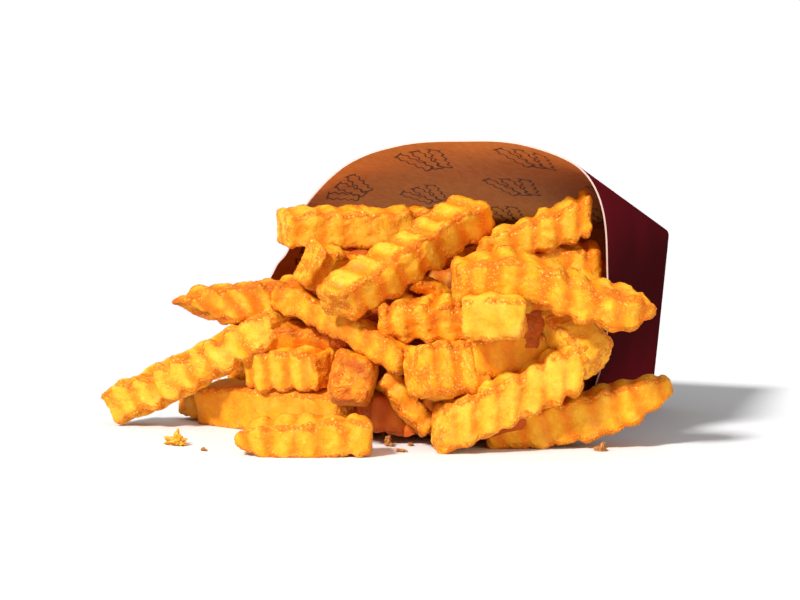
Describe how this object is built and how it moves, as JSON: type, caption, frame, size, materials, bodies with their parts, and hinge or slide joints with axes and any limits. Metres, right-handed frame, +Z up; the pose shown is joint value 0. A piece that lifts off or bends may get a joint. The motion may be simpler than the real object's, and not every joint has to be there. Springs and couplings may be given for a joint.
{
  "type": "french fries in a carton",
  "caption": "Crinkle-cut french fries spilling out of a folded paper carton that lies on its short front panel.",
  "frame": {"origin": "middle of the flat face of the lower panel that the carton lies on", "axes": "+Z up, -Y out of the carton's mouth towards the spilled fries, +X to the right seen from the front"},
  "size_m": [0.1834, 0.1561, 0.0926],
  "materials": {
    "carton_board": "dark red print outside, bare brown kraft inside, pale cut edge, satin",
    "fried_potato": "golden fried potato with a grainy, slightly oily crust"
  },
  "bodies": {
    "root": {"carton": "carton_board", "fries": "fried_potato", "front_fry": "fried_potato"}
  },
  "joints": []
}
